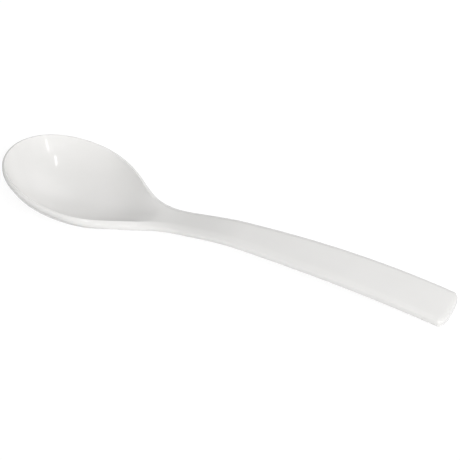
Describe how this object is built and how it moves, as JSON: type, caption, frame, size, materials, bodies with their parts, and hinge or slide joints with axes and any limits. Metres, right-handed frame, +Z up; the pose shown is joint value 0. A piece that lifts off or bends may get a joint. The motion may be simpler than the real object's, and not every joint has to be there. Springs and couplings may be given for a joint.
{
  "type": "table spoon",
  "caption": "White one-piece moulded spoon with an oval bowl, a waisted neck and an arched flat handle that widens to a blunt end, for eating and serving.",
  "frame": {"origin": "on the table, under the middle of the spoon's length, on its plane of symmetry", "axes": "+X from the bowl's tip towards the handle's end, +Y across the bowl, +Z up from the table, with the hollow facing up"},
  "size_m": [0.19, 0.0466, 0.0169],
  "materials": {
    "white_plastic": "polished white moulding"
  },
  "bodies": {
    "root": {"spoon": "white_plastic"}
  },
  "joints": []
}
